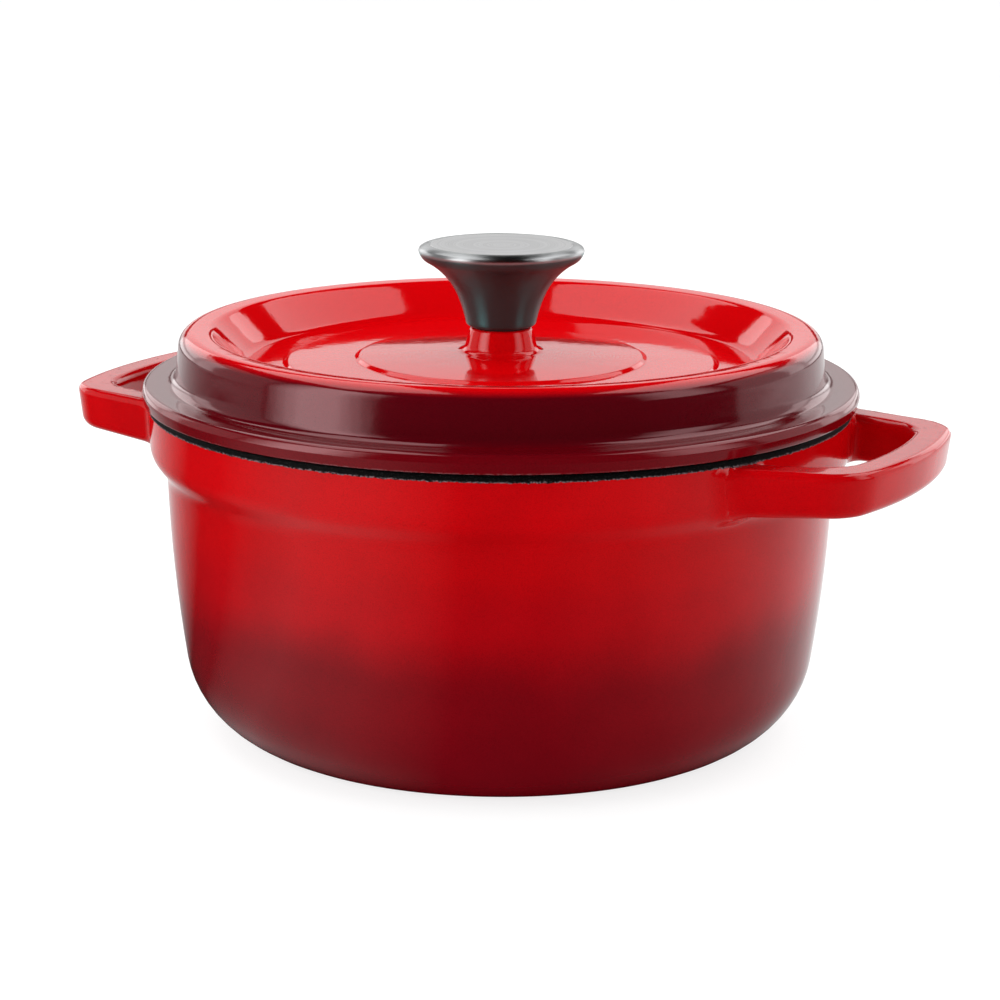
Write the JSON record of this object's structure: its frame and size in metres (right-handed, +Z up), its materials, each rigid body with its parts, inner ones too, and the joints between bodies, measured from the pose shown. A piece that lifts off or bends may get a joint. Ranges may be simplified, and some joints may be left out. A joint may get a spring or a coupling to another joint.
{
  "type": "dutch oven",
  "caption": "Round enamelled cast iron dutch oven with two cast loop handles and a lift-off lid with stepped top and trumpet-shaped steel knob.",
  "frame": {"origin": "centre of the flat base the pot stands on", "axes": "+Z up through the knob; the two loop handles lie along X, so +X points out through one of them"},
  "size_m": [0.3144, 0.2498, 0.17],
  "materials": {
    "enamel_red": "glossy vitreous enamel, bright red fading to burgundy low on the pot and on the sides of the lid; matt black rim; cream inside",
    "steel_polished": "polished stainless steel",
    "steel_satin": "satin stainless steel, finely turned",
    "steel_plated": "bright zinc plating",
    "seal_black": "matt silicone"
  },
  "bodies": {
    "pot": {"pot": "enamel_red"},
    "lid": {"lid": "enamel_red", "knob_shell": "steel_polished", "knob_cap": "steel_satin", "knob_bush": "steel_plated", "knob_seal": "seal_black", "flat_washer": "steel_plated", "spring_washer": "steel_plated", "knob_screw": "steel_plated"}
  },
  "joints": [
    {"name": "lid_lift", "type": "slide", "parent": "pot", "child": "lid", "axis": [0, 0, 1], "range_m": [0, 0.15]}
  ]
}
